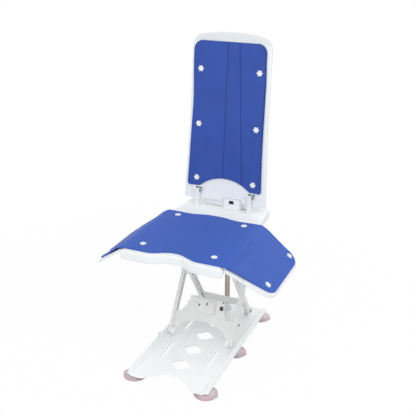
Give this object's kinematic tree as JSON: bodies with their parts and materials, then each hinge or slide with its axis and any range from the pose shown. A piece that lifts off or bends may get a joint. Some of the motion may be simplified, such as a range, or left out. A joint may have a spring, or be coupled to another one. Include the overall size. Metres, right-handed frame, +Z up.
{
  "type": "floor recovery chair",
  "caption": "Battery lift chair that raises a person from the floor: scissor lift on a suction-cup base, seat with folding side flaps and a folding backrest.",
  "frame": {"origin": "on the floor at the middle of the base, under the middle pair of suction cups", "axes": "+Z up, -Y towards the front, +X to the right of someone who faces the chair"},
  "size_m": [0.668, 0.628, 1.1261],
  "materials": {
    "white_plastic": "satin moulded white",
    "base_plastic": "satin moulded off-white",
    "frame_plastic": "satin light grey",
    "blue_cover": "matt blue foam sheet",
    "cup_rubber": "translucent mauve",
    "steel": "bright steel",
    "dark_plastic": "dark brown"
  },
  "bodies": {
    "backrest": {"backrest_button_high_left": "white_plastic", "backrest_button_high_right": "white_plastic", "backrest_button_low_left": "white_plastic", "backrest_button_low_right": "white_plastic", "backrest_button_middle_left": "white_plastic", "backrest_button_middle_right": "white_plastic", "backrest_cover": "blue_cover", "backrest_hinge_pin_left": "steel", "backrest_hinge_pin_right": "steel", "backrest_shell": "white_plastic"},
    "base": {"base_plate": "base_plastic", "column_cap": "white_plastic", "column_foot": "white_plastic", "lift_column": "steel", "lower_pivot_pin_left": "steel", "lower_pivot_pin_right": "steel", "suction_cup_front_left": "cup_rubber", "suction_cup_front_right": "cup_rubber", "suction_cup_middle_left": "cup_rubber", "suction_cup_middle_right": "cup_rubber", "suction_cup_rear_left": "cup_rubber", "suction_cup_rear_right": "cup_rubber"},
    "outer_frame": {"centre_pivot_pin_left": "steel", "centre_pivot_pin_right": "steel", "drive_cover": "frame_plastic", "lower_left_glide": "white_plastic", "lower_right_glide": "white_plastic", "outer_frame": "frame_plastic"},
    "seat": {"control_socket": "dark_plastic", "drive_housing": "white_plastic", "flap_hinge_rod_left": "steel", "flap_hinge_rod_right": "steel", "fold_bead_left": "blue_cover", "fold_bead_right": "blue_cover", "seat_button_front_left": "white_plastic", "seat_button_front_right": "white_plastic", "seat_button_rear_left": "white_plastic", "seat_button_rear_right": "white_plastic", "seat_cover": "blue_cover", "seat_tray": "white_plastic", "upper_pivot_pin_left": "steel", "upper_pivot_pin_right": "steel"},
    "flap_left": {"flap_button_front_left": "white_plastic", "flap_button_rear_left": "white_plastic", "flap_cover_left": "blue_cover", "flap_plate_left": "white_plastic"},
    "flap_right": {"flap_button_front_right": "white_plastic", "flap_button_rear_right": "white_plastic", "flap_cover_right": "blue_cover", "flap_plate_right": "white_plastic"},
    "inner_frame": {"inner_frame": "frame_plastic", "upper_left_glide": "white_plastic", "upper_right_glide": "white_plastic"}
  },
  "joints": [
    {"name": "lift", "type": "hinge", "parent": "base", "child": "inner_frame", "pos_m": [0, 0.245, 0.038], "axis": [1, 0, 0], "range_deg": [0, 50.6]},
    {"name": "scissor_cross", "type": "hinge", "parent": "inner_frame", "child": "outer_frame", "pos_m": [0, 0.11743, 0.23148], "axis": [1, 0, 0], "range_deg": [-101.2, 0]},
    {"name": "seat_level", "type": "hinge", "parent": "outer_frame", "child": "seat", "pos_m": [0, 0.245, 0.42495], "axis": [1, 0, 0], "range_deg": [0, 50.6]},
    {"name": "flap_left_fold", "type": "hinge", "parent": "seat", "child": "flap_left", "pos_m": [-0.1843, 0, 0.47395], "axis": [0, 1, 0], "range_deg": [0, 114]},
    {"name": "flap_right_fold", "type": "hinge", "parent": "seat", "child": "flap_right", "pos_m": [0.1843, 0, 0.47395], "axis": [0, -1, 0], "range_deg": [0, 114]},
    {"name": "backrest_fold", "type": "hinge", "parent": "seat", "child": "backrest", "pos_m": [0, 0.209, 0.54295], "axis": [1, 0, 0], "range_deg": [0, 92]}
  ],
  "couplings": [
    {"joint": "scissor_cross", "follows": "lift", "ratio": -2},
    {"joint": "seat_level", "follows": "lift", "ratio": 1}
  ]
}
